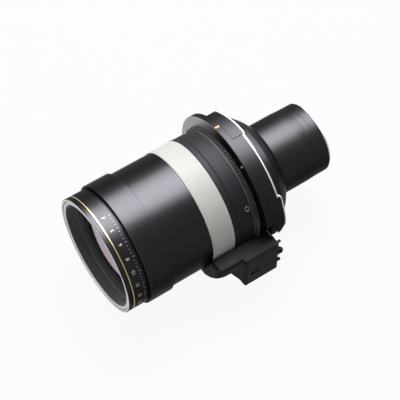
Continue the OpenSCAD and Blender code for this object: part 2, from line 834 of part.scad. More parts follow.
module cover_side(inset) {
    r = cover_round;
    translate([cover_y + inset, -70]) square([40, 70 + plate_z - r]);
    translate([cover_y + r, -70]) square([40, 70 + plate_z - inset]);
    translate([cover_y + r, plate_z - r]) circle(r - inset);
}

module cover_body(inset) {
    intersection() {
        along_y(cover_y - 1, block_y + 1) cover_section(inset);
        along_z(-80, 0) cover_plan(inset);
        along_x(0, 100) cover_side(inset);
    }
}

// The room for both motors and pinions, cut out of the walls that face the barrel.
module drive_room() {
    rod(focus_place, focus_motor_r + 0.8, focus_gear_y - 1, block_y + 1);
    rod(zoom_place, motor_r + 0.4, zoom_motor_y - 0.6, block_y + 1);
}

module plate_outline() {
    polygon([[plate_inner_x, block_y - 0.5], [cover_x - 4, block_y - 0.5], [cover_x - 4, block_y],
        [block_x, block_y], [block_x, block_rear_y - 0.8], [80.6, plate_rear_y],
        [plate_inner_x, plate_rear_y]]);
}

module top_cover() {
    color(plastic) difference() {
        union() {
            difference() {
                cover_body(0);
                cover_body(wall);
            }
            along_z(plate_z - wall, plate_z) plate_outline();
            along_z(plate_z, plate_z + 0.5) polygon([[block_x - 0.9, block_y], [block_x, block_y],
                [block_x, block_rear_y - 0.8], [block_x - 0.9, block_rear_y - 1.2]]);
            translate([82.2, block_rear_y - 2, plate_z - wall]) cube([2.2, 4.8, wall + 0.4]);
        }
        tube(inner_gap_r, 1, cover_y - 1, 5);
        tube(gear_gap_r, 1, main_rear_y - 0.4, flange_y + 0.4);
        drive_room();
    }
}

// The block seen from above, with its front face slanting forward towards the barrel.
module block_plan(inset) {
    r = block_corner;
    foot = block_y - block_slant * (block_x - block_in_x) + 4;
    difference() {
        union() {
            polygon([[block_in_x - 10, foot + inset], [block_x - r, block_y + inset],
                [block_x - r, block_rear_y - inset], [block_in_x - 10, block_rear_y - inset]]);
            translate([block_x - r - 0.01, block_y + r])
                square([r - inset + 0.01, block_rear_y - r - block_y - inset]);
            translate([block_x - r, block_y + r]) circle(r - inset);
        }
    }
}

// The block seen from the side, with its lower front edge well rounded.
module block_side(inset) {
    r = 8;
    translate([block_y - 14, block_z + r]) square([block_rear_y - block_y + 14 - inset, 60]);
    translate([block_y + r, block_z + inset]) square([block_rear_y - block_y - r - inset, 60]);
    translate([block_y + r, block_z + r]) circle(r - inset);
}

// The block seen from the front, with its lower outer edge rounded.
module block_front_view(inset) {
    r = block_corner;
    top = plate_z - wall - block_z;
    difference() {
        union() {
            translate([block_in_x + inset, block_z + inset])
                square([block_x - r - block_in_x - inset, top - inset]);
            translate([block_x - r - 0.01, block_z + r]) square([r - inset + 0.01, top - r]);
            translate([block_x - r, block_z + r]) circle(r - inset);
        }
        circle(inner_gap_r + inset);
    }
}

module block_shape(inset) {
    intersection() {
        along_y(block_y - 20, block_rear_y + 1) block_front_view(inset);
        along_z(-80, plate_z - wall) block_plan(inset);
        along_x(0, 100) block_side(inset);
    }
}

module connector_block() {
    color(plastic) difference() {
        block_shape(0);
        block_shape(wall);
        cover_body(0);
        translate([block_x - 1, -44, -42]) cube([2, 10, 6]);
        translate([block_x - 0.6, block_y + 5, plate_z - wall - 5]) cube([2, 33, 1.2]);
        along_y(block_rear_y - 3, block_rear_y + 1)
            translate([insert_x[0], insert_z[0]])
                square([insert_x[1] - insert_x[0], insert_z[1] - insert_z[0]]);
        for (p = guide_pin_places) rod(p, guide_pin_r, block_rear_y - 3, block_rear_y + 1);
        rod(small_pin_place, 1.75, block_rear_y - 3, block_rear_y + 1);
        rod(focus_place, focus_motor_r, block_y - 20, block_y + 10);
        rod(zoom_place, motor_r, block_y - 20, block_y + 10);
        tube(gear_gap_r, 1, main_rear_y - 0.4, flange_y + 0.4);
        rod(focus_place, focus_motor_r + 0.8, block_y + wall, block_rear_y - wall - 10);
        rod(zoom_place, zoom_pinion_pitch_r + 1.4, block_y + wall, block_rear_y - wall - 5);
    }
    color(plastic) translate([block_x - 1, -42, -40.2]) cube([0.8, 6, 2.4]);
}

module block_screws() {
    y = block_rear_y + 0.9;
    color(bright) for (p = [[80.6, -16], [80.6, -57.6]]) difference() {
        rod(p, 2.2, block_rear_y, y);
        translate([p[0] - 2.2, y - 0.4, p[1] - 0.3]) cube([4.4, 0.7, 0.6]);
        translate([p[0] - 0.3, y - 0.4, p[1] - 2.2]) cube([0.6, 0.7, 4.4]);
    }
}

module connector_insert() {
    color(black) difference() {
        along_y(block_rear_y - 7, block_rear_y + 4)
            translate([insert_x[0], insert_z[0]])
                square([insert_x[1] - insert_x[0], insert_z[1] - insert_z[0]]);
        along_y(block_rear_y - 1, block_rear_y + 5) round_rect(insert_x[0] + 1.5, insert_x[1] - 1.5,
            insert_z[0] + 1.5, insert_z[1] - 1.5, 1);
    }
}

module contact_pins() {
    color(brass) for (i = [0 : 7], x = [-3, 3])
        rod([(insert_x[0] + insert_x[1]) / 2 + x, insert_z[0] + 3.4 + i * 2.8], 0.5,
            block_rear_y - 1, block_rear_y + 2.6);
}

module guide_pins() {
    color(bright) for (p = guide_pin_places) {
        rod(p, guide_pin_r, block_rear_y - wall, block_rear_y + guide_pin_len - 2);
        translate([p[0], block_rear_y + guide_pin_len - 2, p[1]]) rotate([-90, 0, 0])
            cylinder(r1 = guide_pin_r, r2 = guide_pin_r - 1.6, h = 2);
    }
    color(bright) rod(small_pin_place, 1.75, block_rear_y - wall, block_rear_y + 6.9);
}

module circuit_board() {
    color("darkgreen") translate([block_x - wall - board_t, block_y + 6.5, block_z + 6.5])
        cube([board_t, 29, 38]);
}

module zoom_motor() {
    color(silver) difference() {
        union() {
            rod(zoom_place, motor_r, zoom_motor_y, zoom_motor_y + zoom_motor_len);
            rod(zoom_place, 3, zoom_motor_y + zoom_motor_len, zoom_motor_y + zoom_motor_len + 1.5);
        }
        rod(zoom_place, motor_shaft_r + run_gap, zoom_motor_y + 8, zoom_motor_y + zoom_motor_len + 3);
    }
}

module zoom_pinion() {
    color(brass) difference() {
        union() {
            along_y(zoom_gear_y - 0.5, zoom_gear_y + zoom_gear_w + 0.5) translate(zoom_place)
                teeth_outline(zoom_pinion_teeth, zoom_pinion_pitch_r, zoom_module,
                    zoom_motor_dir + 180 + 180 / zoom_pinion_teeth);
            rod(zoom_place, motor_shaft_r, zoom_motor_y + 10, zoom_gear_y + zoom_gear_w + 1);
            rod(zoom_place, pinion_hub_r, zoom_gear_y - 2, zoom_gear_y);
        }
    }
}

module focus_motor() {
    color(silver) difference() {
        union() {
            rod(focus_place, focus_motor_r, focus_motor_y, focus_motor_y + focus_motor_len);
            rod(focus_place, 3, focus_motor_y - 1, focus_motor_y);
        }
        rod(focus_place, motor_shaft_r + run_gap, focus_motor_y - 2, focus_motor_y + focus_motor_len - 8);
    }
}

module focus_pinion() {
    color(brass) union() {
        along_y(focus_gear_y - 0.3, focus_gear_y + focus_gear_w + 0.3) translate(focus_place)
            teeth_outline(focus_pinion_teeth, focus_pinion_pitch_r, focus_module,
                focus_motor_dir + 180 + 180 / focus_pinion_teeth);
        rod(focus_place, motor_shaft_r, focus_gear_y - 0.6, focus_motor_y + focus_motor_len - 10);
        rod(focus_place, pinion_hub_r, focus_gear_y + focus_gear_w, focus_gear_y + focus_gear_w + 2);
    }
}

module motor_bracket() {
    color(grey_black) difference() {
        along_y(-39, -36.5) difference() {
            intersection() {
                round_rect(block_in_x + wall, block_x - wall, block_z + wall, plate_z - wall, 1.2);
                circle(200);
            }
            circle(inner_gap_r + wall);
            translate(zoom_place) circle(motor_r);
            translate(focus_place) circle(focus_motor_r);
            translate([block_x - wall - board_t - 0.5, block_z]) square([20, 60]);
        }
    }
}

module limit_switches() {
    color(black) for (y = [-48, -30]) translate([72.5, y, -52])
        cube([block_x - wall - board_t - 72.5, 7, 6]);
}

module plate_clip() {
    color(bright) translate([66.6, plate_rear_y - 0.8, plate_z]) cube([8, 0.7, 1.4]);
}

module gear_spring() {
    color(bright) rotate([0, -65.5, 0]) translate([70.6, flange_y - 0.6, -0.8]) cube([4.2, 0.6, 1.6]);
}

trim_ring();
name_ring();
metal_line();
front_retaining_ring();
front_element();
front_spacer();
second_element();
front_cell();
front_barrel();
slide_keys();
slide_barrel();
silver_band();
edge_ring();
main_barrel();
barrel_screws();
zoom_gear_ring();
zoom_drive_arm();
cam_tube();
guide_tube();
variator_cell();
variator_lens();
variator_pins();
compensator_cell();
compensator_lens();
compensator_pins();
focus_ring();
mount_flange();
bayonet_ring();
seat_plate();
wear_pads();
flange_screws();
index_mark();
mount_shoulder();
rear_barrel();
aperture_stop();
relay_lens();
rear_lens();
rear_ring();
top_cover();
connector_block();
block_screws();
connector_insert();
contact_pins();
guide_pins();
circuit_board();
motor_bracket();
zoom_motor();
zoom_pinion();
focus_motor();
focus_pinion();
limit_switches();
gear_spring();
plate_clip();
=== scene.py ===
import json
import math

import bpy
import numpy as np
from bpy.props import FloatProperty, FloatVectorProperty, IntProperty, PointerProperty
from mathutils import Matrix, Vector


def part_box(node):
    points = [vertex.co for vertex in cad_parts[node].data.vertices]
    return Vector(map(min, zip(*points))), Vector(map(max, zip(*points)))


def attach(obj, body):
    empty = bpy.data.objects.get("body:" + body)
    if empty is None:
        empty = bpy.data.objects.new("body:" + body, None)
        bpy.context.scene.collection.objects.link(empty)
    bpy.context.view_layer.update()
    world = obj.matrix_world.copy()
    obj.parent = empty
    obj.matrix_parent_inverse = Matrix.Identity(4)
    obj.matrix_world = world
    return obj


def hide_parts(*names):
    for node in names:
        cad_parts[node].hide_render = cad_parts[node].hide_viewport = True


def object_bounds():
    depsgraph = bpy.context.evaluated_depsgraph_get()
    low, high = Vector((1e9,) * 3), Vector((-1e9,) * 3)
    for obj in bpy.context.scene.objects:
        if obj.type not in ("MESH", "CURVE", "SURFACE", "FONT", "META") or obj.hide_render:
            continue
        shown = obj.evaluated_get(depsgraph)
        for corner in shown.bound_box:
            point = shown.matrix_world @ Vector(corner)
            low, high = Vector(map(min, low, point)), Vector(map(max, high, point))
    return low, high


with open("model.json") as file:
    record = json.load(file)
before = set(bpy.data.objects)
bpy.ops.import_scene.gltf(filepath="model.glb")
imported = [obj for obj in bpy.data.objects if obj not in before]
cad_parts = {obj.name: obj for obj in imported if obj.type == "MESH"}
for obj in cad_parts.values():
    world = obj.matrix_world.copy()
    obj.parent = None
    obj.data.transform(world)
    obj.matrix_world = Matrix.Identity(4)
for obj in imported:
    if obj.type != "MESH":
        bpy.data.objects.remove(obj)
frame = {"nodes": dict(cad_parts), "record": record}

bl_info = {
    "name": "Projection Lens Dressing",
    "version": (1, 0, 0),
    "blender": (4, 5, 0),
    "location": "3D View > Sidebar > Lens",
    "description": "Turned rings, coated glass, finishes and a studio for a large projector's zoom lens",
    "category": "Object",
}

MM = 0.001
CAD_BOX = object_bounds()
# The most of a side's length that the arc at either end of it may take
ARC_SHARE = 0.45
# Radii in millimetres for edges that are almost sharp, and for those that are slightly broken
CRISP = 0.05
SLIGHT = 0.1


# Shapes


def filleted(outline, radius, steps):
    """A closed outline of (radius, y) corners, each turned into an arc that touches both of its sides.

    A corner may hold a third value, its own arc radius. The arc's centre lies on the corner's
    bisector. Its points are the centre plus the arc's radius times a direction that turns evenly from
    the first side's normal to the second one's. Returns the points, their normals and a mask that is
    1 in the middle of each outer corner's arc."""
    corners = np.array([(c[0], c[1]) for c in outline], float)
    radii = np.array([c[2] if len(c) > 2 else radius for c in outline], float)
    before = np.roll(corners, 1, 0) - corners
    after = np.roll(corners, -1, 0) - corners
    long_before = np.linalg.norm(before, axis=1)
    long_after = np.linalg.norm(after, axis=1)
    before /= long_before[:, None]
    after /= long_after[:, None]
    x, y = corners.T
    turn = np.sign(np.sum(x * np.roll(y, -1) - np.roll(x, -1) * y))
    normal_in = turn * np.stack([-before[:, 1], before[:, 0]], 1)
    normal_out = turn * np.stack([after[:, 1], -after[:, 0]], 1)
    angle_in = np.arctan2(normal_in[:, 1], normal_in[:, 0])
    swing = np.arctan2(normal_out[:, 1], normal_out[:, 0]) - angle_in
    swing = (swing + np.pi) % (2 * np.pi) - np.pi
    bulge = np.sign(swing * turn)
    tangent = np.tan(np.abs(swing) / 2)
    room = ARC_SHARE * np.minimum(long_before, long_after)
    radii = np.minimum(radii, room / np.maximum(tangent, 1e-6))
    centre = corners + before * (radii * tangent)[:, None] - normal_in * (bulge * radii)[:, None]
    t = np.linspace(0, 1, steps + 1)
    angle = angle_in[:, None] + swing[:, None] * t
    normals = np.stack([np.cos(angle), np.sin(angle)], 2)
    points = centre[:, None] + normals * (bulge * radii)[:, None, None]
    # This mask later pales the edges, partly for wear and partly as a painted highlight.
    edge = np.sin(np.pi * t)[None] * (bulge > 0)[:, None]
    return points.reshape(-1, 2), normals.reshape(-1, 2), edge.ravel()


def dome(radius, y_edge, bulge, side, rings=24):
    """One face of a lens element from its edge to the axis.

    y = edge + side * bulge * (1 - (r / radius)^2), where side is -1 for the front and 1 for the back."""
    r = radius * np.cos(np.linspace(0, np.pi / 2, rings))
    r[-1] = 0
    y = y_edge + side * bulge * (1 - (r / radius) ** 2)
    slope = -2 * side * bulge * r / radius**2
    normals = np.stack([-slope * side, np.full(rings, float(side))], 1)
    normals /= np.linalg.norm(normals, axis=1)[:, None]
    return np.stack([r, y], 1), normals


def turned_mesh(name, points, normals, edge=None, segments=256):
    """A solid of revolution about Y: the grid (r cos a, y, r sin a) over a profile's points and a.

    A closed profile gives a ring. A profile that starts and ends on the axis gives a solid with one
    vertex at each pole."""
    points = np.asarray(points, float) * MM
    count = len(points)
    poles = points[0, 0] < 1e-9 and points[-1, 0] < 1e-9
    a = np.arange(segments) * 2 * np.pi / segments
    cos, sin = np.cos(a)[None], np.sin(a)[None]
    rows = np.arange(1, count - 1) if poles else np.arange(count)
    r, y = points[rows, 0][:, None], points[rows, 1][:, None]
    nr, ny = normals[rows, 0][:, None], normals[rows, 1][:, None]
    grid = np.stack([r * cos, y + 0 * cos, r * sin], 2).reshape(-1, 3)
    facing = np.stack([nr * cos, ny + 0 * cos, nr * sin], 2).reshape(-1, 3)
    wear_and_highlight = np.zeros(count) if edge is None else edge
    mask = np.repeat(wear_and_highlight[rows], segments)
    j = np.arange(segments)
    k = (j + 1) % segments
    bands = len(rows) - 1 if poles else len(rows)
    i0 = np.arange(bands)[:, None] * segments
    i1 = (np.arange(bands)[:, None] + 1) % len(rows) * segments
    faces = np.stack([i0 + j, i1 + j, i1 + k, i0 + k], 2).reshape(-1, 4).tolist()
    if poles:
        first, last = len(grid), len(grid) + 1
        ends = points[[0, -1]]
        grid = np.vstack([grid, [[0, ends[0, 1], 0], [0, ends[1, 1], 0]]])
        facing = np.vstack([facing, [[0, normals[0, 1], 0], [0, normals[-1, 1], 0]]])
        mask = np.append(mask, [0, 0])
        top = (len(rows) - 1) * segments
        faces += np.stack([np.full(segments, first), j, k], 1).tolist()
        faces += np.stack([np.full(segments, last), top + k, top + j], 1).tolist()
    return solid(name, grid, faces, facing, mask)


def solid(name, verts, faces, normals=None, mask=None):
    """A closed mesh object from vertices and faces, with its faces turned to point outwards."""
    verts = np.asarray(verts, float)
    volume = 0.0
    by_size = {}
    for face in faces:
        by_size.setdefault(len(face), []).append(face)
    for group in by_size.values():
        f = np.array(group)
        for n in range(1, f.shape[1] - 1):
            volume += np.einsum("ij,ij->i", verts[f[:, 0]],
                                np.cross(verts[f[:, n]], verts[f[:, n + 1]])).sum()
    if volume < 0:
        faces = [face[::-1] for face in faces]
    mesh = bpy.data.meshes.new(name)
    mesh.from_pydata(verts.tolist(), [], [list(face) for face in faces])
    mesh.polygons.foreach_set("use_smooth", np.ones(len(mesh.polygons), bool))
    if mask is not None:
        wear_and_highlight = mesh.attributes.new("edge_wear", "FLOAT", "POINT")
        wear_and_highlight.data.foreach_set("value", np.asarray(mask, np.float32))
    mesh.update()
    if normals is not None:
        mesh.normals_split_custom_set_from_vertices(np.asarray(normals, float).tolist())
    thing = bpy.data.objects.new(name, mesh)
    bpy.context.scene.collection.objects.link(thing)
    return thing


def span(node):
    """A turned node's largest radius and its two ends along Y, in millimetres."""
    low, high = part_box(node)
    return high.x / MM, low.y / MM, high.y / MM


def settle(piece, body, slot, *nodes, finish=None):
    """Gives a piece its body and the finish of its slot, and hides the CAD nodes that it stands for.

    Its finish is the slot's own unless another one is named."""
    piece.data.materials.clear()
    piece.data.materials.append(MATERIALS[finish or slot])
    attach(piece, body)
    if nodes:
        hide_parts(*nodes)


def turn(name, outline, radius, steps, body, slot, *nodes, finish=None):
    """Turns a piece from a closed outline whose corners have arcs of the radius, and settles it."""
    settle(turned_mesh(name, *filleted(outline, radius, steps)), body, slot, *nodes, finish=finish)


# Materials

# Where the flange's bare front face ends along Y, and over how much a painted shade fades it into the
# black coat towards the drive housing along X, in millimetres
BARE_FACE_Y = -20.1
PAINTED_SHADE_FADE = 50


class Signal:
    """One output of a shader node. Sums and products of it are written as plain expressions."""

    def __init__(self, nodes, socket):
        self.nodes = nodes
        self.socket = socket

    def _math(self, operation, *values):
        return self.nodes.node("ShaderNodeMath", {"operation": operation}, dict(enumerate(values)))

    def __add__(self, other):
        return self._math("ADD", self, other)

    def __sub__(self, other):
        return self._math("SUBTRACT", self, other)

    def __rsub__(self, other):
        return self._math("SUBTRACT", other, self)

    def __mul__(self, other):
        return self._math("MULTIPLY", self, other)

    def sine(self):
        return self._math("SINE", self)

    def at_most(self, limit):
        return self._math("MINIMUM", self, limit)

    def above(self, low, high):
        """0 below low, 1 above high, with a smooth rise between."""
        return self.nodes.node("ShaderNodeMapRange", {"interpolation_type": "SMOOTHSTEP"},
                               {"Value": self, "From Min": low, "From Max": high})

    __radd__ = __add__
    __rmul__ = __mul__


class Nodes:
    """A node tree, and the one method that adds any node to it."""

    def __init__(self, tree):
        self.tree = tree

    def feed(self, socket, value):
        """Links a signal to a socket, or sets the socket to a plain value."""
        if isinstance(value, Signal):
            self.tree.links.new(value.socket, socket)
        else:
            socket.default_value = value

    def node(self, kind, settings, values, output=0):
        """Adds a node, sets its settings first, then its sockets, and returns one output."""
        made = self.tree.nodes.new(kind)
        for name, value in settings.items():
            setattr(made, name, value)
        for name, value in values.items():
            self.feed(made.inputs[name], value)
        return Signal(self, made.outputs[output])

    def seen_directly(self):
        """1 for a ray from the camera, a mirror or through glass, and 0 for one that only lights."""
        camera, glossy, through = (self.node("ShaderNodeLightPath", {}, {}, f"Is {kind} Ray")
                                   for kind in ("Camera", "Glossy", "Transmission"))
        return (camera + glossy + through).at_most(1.0)


def opaque(value):
    """A colour with full alpha, and anything else as it is."""
    return (*value, 1) if hasattr(value, "__len__") and len(value) == 3 else value


class Paint(Nodes):
    """A new material with a Principled shader."""

    def __init__(self, name, **constants):
        self.material = bpy.data.materials.new(name)
        self.material.use_nodes = True
        super().__init__(self.material.node_tree)
        self.shader = self.tree.nodes["Principled BSDF"]
        for socket, value in constants.items():
            self.set(socket.replace("_", " "), value)
        self.place = self.node("ShaderNodeTexCoord", {}, {}, "Object")

    def set(self, socket, value):
        """Gives a socket of the shader a number, a colour or a signal."""
        self.feed(self.shader.inputs[socket], opaque(value))

    def axis(self, name):
        """One of the object's own coordinates, in metres."""
        return self.node("ShaderNodeSeparateXYZ", {}, {"Vector": self.place}, name)

    def noise(self, scale, detail=3.0, roughness=0.55, stretch=(1, 1, 1)):
        """Smooth noise from 0 to 1, with scale spots a metre."""
        moved = self.node("ShaderNodeMapping", {}, {"Vector": self.place, "Scale": stretch})
        return self.node("ShaderNodeTexNoise", {},
                         {"Vector": moved, "Scale": scale, "Detail": detail, "Roughness": roughness})

    def turning(self, pitch):
        """The fine rings that a lathe leaves round the axis: a sine of y, pitch apart in millimetres."""
        wander = self.noise(60, 2) * 3.0
        return (self.axis("Y") * (2 * math.pi / (pitch * MM)) + wander).sine() * 0.5 + 0.5

    def wear_and_highlight(self):
        """1 along the rounded outer edges of a turned piece, and 0 elsewhere: it pales them, partly for
        wear and partly as a painted highlight.
        """
        return self.node("ShaderNodeAttribute", {"attribute_name": "edge_wear"}, {}, "Fac")

    def mix(self, share, first, second):
        """Goes from the first colour to the second as share goes from 0 to 1."""
        # A Mix node's colour sockets come after those of its other types.
        return self.node("ShaderNodeMix", {"data_type": "RGBA"},
                         {0: share, 6: opaque(first), 7: opaque(second)}, 2)

    def bump(self, height, depth, strength=1.0):
        """Relief whose full height is depth, in millimetres."""
        relief = self.node("ShaderNodeBump", {},
                           {"Height": height, "Distance": depth * MM, "Strength": strength}, "Normal")
        self.set("Normal", relief)


def lighter(colour, factor):
    """A colour times a factor, which may also darken it."""
    return [min(1.0, c * factor) for c in colour]


def black_anodised(name, colour, roughness, level, pitch, bare_colour=None):
    """Turned aluminium with a black satin coat: fine lathe rings, faint cloudiness and edges paled
    partly by wear and partly by a painted highlight.

    With a bare_colour, the flange's front face is machined bare on the side away from the housing, and a
    painted shade fades it back into the black coat towards the housing."""
    paint = Paint(name, IOR=1.5, Specular_IOR_Level=level, Specular_Tint=(0, 0, 0), Metallic=0.7)
    cloud = paint.noise(26, 3)
    grain = paint.noise(2600, 2)
    rings = paint.turning(pitch)
    scuff = paint.noise(420, 4, 0.7).above(0.56, 0.78)
    # Paler edges: partly wear, partly a painted highlight.
    share = cloud * 0.04 + scuff * 0.03 + paint.wear_and_highlight() * 0.5
    coat = paint.mix(share, colour, lighter(colour, 6))
    if bare_colour is not None:
        # Painted shade: the bare front face darkens into the black coat towards the drive housing.
        behind_face = paint.axis("Y").above(BARE_FACE_Y * MM, (BARE_FACE_Y + 0.2) * MM)
        painted_shade_side = paint.axis("X").above(-PAINTED_SHADE_FADE * MM, 0.0)
        coat = paint.mix((1.0 - behind_face) * (1.0 - painted_shade_side), coat, bare_colour)
    paint.set("Base Color", coat)
    paint.set("Roughness", cloud * 0.07 + grain * 0.05 + scuff * 0.05 + (roughness - 0.09))
    paint.bump(rings * 0.5 + grain * 0.5, 0.006, 0.6)
    return paint.material


def black_gloss(name, colour):
    """Polished black lacquer under a clear coat, with a slight orange-peel and a little dust."""
    paint = Paint(name, IOR=1.5, Specular_IOR_Level=0.1, Specular_Tint=(0, 0, 0), Metallic=0.75)
    peel = paint.noise(700, 2)
    dust = paint.noise(5200, 2, 0.8).above(0.7, 0.82)
    # Paler edges: partly wear, partly a painted highlight.
    paint.set("Base Color", paint.mix(dust * 0.25 + paint.wear_and_highlight() * 0.4, colour, lighter(colour, 5)))
    paint.set("Roughness", peel * 0.06 + dust * 0.2 + 0.3)
    paint.bump(peel, 0.01, 0.4)
    return paint.material


def matte_black(name, colour):
    """Blackened metal inside the hood: dull, with a fine dry grain."""
    paint = Paint(name, IOR=1.45, Specular_IOR_Level=0.15)
    grain = paint.noise(3200, 3, 0.7)
    cloud = paint.noise(34, 3)
    # Paler crests and edges: partly wear, partly a painted highlight.
    share = cloud * 0.15 + grain * 0.15 + paint.wear_and_highlight() * 0.8
    paint.set("Base Color", paint.mix(share, colour, lighter(colour, 7)))
    paint.set("Roughness", grain * 0.12 + cloud * 0.08 + 0.46)
    paint.bump(grain, 0.012, 0.7)
    return paint.material


def crackle_grey(name, colour, roughness):
    """Charcoal powder coat: an even fine grain with soft pits."""
    paint = Paint(name, IOR=1.5, Specular_IOR_Level=0.15, Specular_Tint=(0, 0, 0), Metallic=0.3)
    grain = paint.noise(2200, 4, 0.65)
    pits = paint.noise(5200, 2).above(0.35, 0.6)
    cloud = paint.noise(22, 3)
    paint.set("Base Color", paint.mix(cloud * 0.35 + grain * 0.3, colour, lighter(colour, 1.9)))
    paint.set("Roughness", grain * 0.12 + roughness)
    paint.bump(grain * 0.6 + pits * 0.4, 0.02, 0.7)
    return paint.material


def mottled_silver(name, colour):
    """Silver paint with a fine hammered mottle, warm and half metallic."""
    paint = Paint(name, IOR=1.5, Specular_IOR_Level=0.08)
    dapple = paint.noise(330, 4, 0.6)
    blotch = paint.noise(90, 3)
    flake = paint.noise(6400, 2).above(0.45, 0.7)
    mottle = dapple * 0.6 + blotch * 0.4
    paint.set("Base Color", paint.mix(mottle, lighter(colour, 0.86), lighter(colour, 1.1)))
    paint.set("Metallic", flake * 0.02)
    paint.set("Roughness", dapple * 0.16 + 0.5)
    paint.bump(dapple * 0.7 + flake * 0.15, 0.06, 0.7)
    return paint.material


def brushed_metal(name, colour, roughness, stretch, bare):
    """Metal with fine brush lines along the direction that the stretch leaves long.

    It is bare where the share called bare is near 1, and under a satin plating where it is near 0."""
    paint = Paint(name, Specular_IOR_Level=0.25)
    brush = paint.noise(2400, 3, 0.6, stretch)
    cloud = paint.noise(60, 3)
    tarnish = paint.noise(240, 4, 0.7).above(0.58, 0.8)
    share = brush * 0.5 + cloud * 0.3 + tarnish * 0.2
    paint.set("Base Color", paint.mix(share, lighter(colour, 1.05), lighter(colour, 0.78)))
    paint.set("Metallic", bare - tarnish * 0.1)
    paint.set("Roughness", brush * 0.14 + cloud * 0.08 + tarnish * 0.1 + roughness)
    paint.bump(brush, 0.01, 0.5)
    return paint.material


def coated_glass(name, tint, film, mirror):
    """Optical glass under a thin film.

    The share called mirror reflects, in the film's colour at low angles, and the rest lets light
    through."""
    paint = Paint(name, IOR=1.62, Specular_Tint=film, Transmission_Weight=1.0, Metallic=mirror)
    haze = paint.noise(45, 3)
    clear = paint.mix(haze, tint, lighter(tint, 1.6))
    if mirror:
        facing = paint.node("ShaderNodeLayerWeight", {}, {"Blend": 0.5}, "Facing")
        clear = paint.mix(facing.above(0.42, 0.66), clear, film)
    paint.set("Base Color", clear)
    paint.set("Roughness", haze * 0.03 + 0.02)
    return paint.material


def glossy_paint(name, colour):
    """A filled engraving: opaque paint with a slightly uneven face."""
    paint = Paint(name, IOR=1.5)
    grain = paint.noise(3400, 3)
    paint.set("Base Color", paint.mix(grain * 0.5, colour, lighter(colour, 0.7)))
    paint.set("Roughness", grain * 0.2 + 0.3)
    paint.bump(grain, 0.01, 0.5)
    return paint.material


def moulded_plastic(name, colour, roughness, grain_depth):
    """Spark-eroded moulded plastic: a fine even texture, slightly polished in broad patches."""
    paint = Paint(name, IOR=1.48, Specular_IOR_Level=0.07)
    spark = paint.noise(1700, 3, 0.6)
    handled = paint.noise(40, 3).above(0.4, 0.75)
    paint.set("Base Color", paint.mix(spark * 0.4 + handled * 0.25, colour, lighter(colour, 1.8)))
    paint.set("Roughness", spark * 0.12 + handled * -0.08 + roughness)
    paint.bump(spark, grain_depth, 0.8)
    return paint.material


def circuit_green(name, colour):
    """Solder mask over a glass-fibre board, with the weave and a few tracks just showing."""
    paint = Paint(name, IOR=1.5)
    tracks = (paint.axis("X") * 5200).sine().above(0.5, 0.8)
    weave = paint.noise(1800, 2)
    paint.set("Base Color", paint.mix(tracks * 0.5 + weave * 0.2, colour, lighter(colour, 1.9)))
    paint.set("Roughness", weave * 0.15 + 0.3)
    paint.bump(tracks * 0.7 + weave * 0.3, 0.02, 0.6)
    return paint.material


def make_materials(look):
    """One finish for each of the record's material slots, and the variants that single pieces have."""
    round_y = (1, 0.04, 1)
    mount_black = lighter(look.black, 0.85)
    return {
        "satin_black": black_anodised("satin_black", look.black, 0.33, 0.1, 0.16),
        "mount_black": black_anodised("mount_black", mount_black, 0.42, 0.1, 0.2),
        "flange_black": black_anodised("flange_black", mount_black, 0.42, 0.1, 0.2, look.bare_face),
        "rear_black": black_anodised("rear_black", lighter(look.black, 0.95), 0.38, 0.1, 0.16),
        "gear_black": moulded_plastic("gear_black", look.gear_black, 0.4, 0.02),
        "rear_metal": brushed_metal("rear_metal", lighter(look.grey_metal, 0.5), 0.34, round_y, 0.5),
        "gloss_black": black_gloss("gloss_black", look.ring_black),
        "matte_black": matte_black("matte_black", look.hood_black),
        "grey_matte": crackle_grey("grey_matte", look.charcoal, 0.52),
        "silver_satin": mottled_silver("silver_satin", look.silver),
        "bright_metal": brushed_metal("bright_metal", look.steel, 0.36, round_y, 0.12),
        "gold_metal": brushed_metal("gold_metal", look.gold, 0.2, round_y, 0.9),
        "grey_metal": brushed_metal("grey_metal", look.grey_metal, 0.34, round_y, 0.5),
        "coated_glass": coated_glass("coated_glass", look.coated_glass, look.film, 0.8),
        "lens_glass": coated_glass("lens_glass", look.glass, look.film, 0.0),
        "orange_paint": glossy_paint("orange_paint", look.orange),
        "housing_plastic": moulded_plastic("housing_plastic", look.plastic, 0.55, 0.03),
        "dark_plastic": moulded_plastic("dark_plastic", lighter(look.plastic, 0.7), 0.45, 0.02),
        "board_green": circuit_green("board_green", look.board),
        "white_paint": glossy_paint("white_paint", look.white),
    }


def colour(name, text, default):
    return FloatVectorProperty(name=name, description=text, default=default, size=3, min=0, max=1,
                               subtype="COLOR")


def length(name, text, default):
    return FloatProperty(name=name, description=text, default=default, min=0, unit="LENGTH")


def amount(name, text, default, **limits):
    return FloatProperty(name=name, description=text, default=default, min=0, **limits)


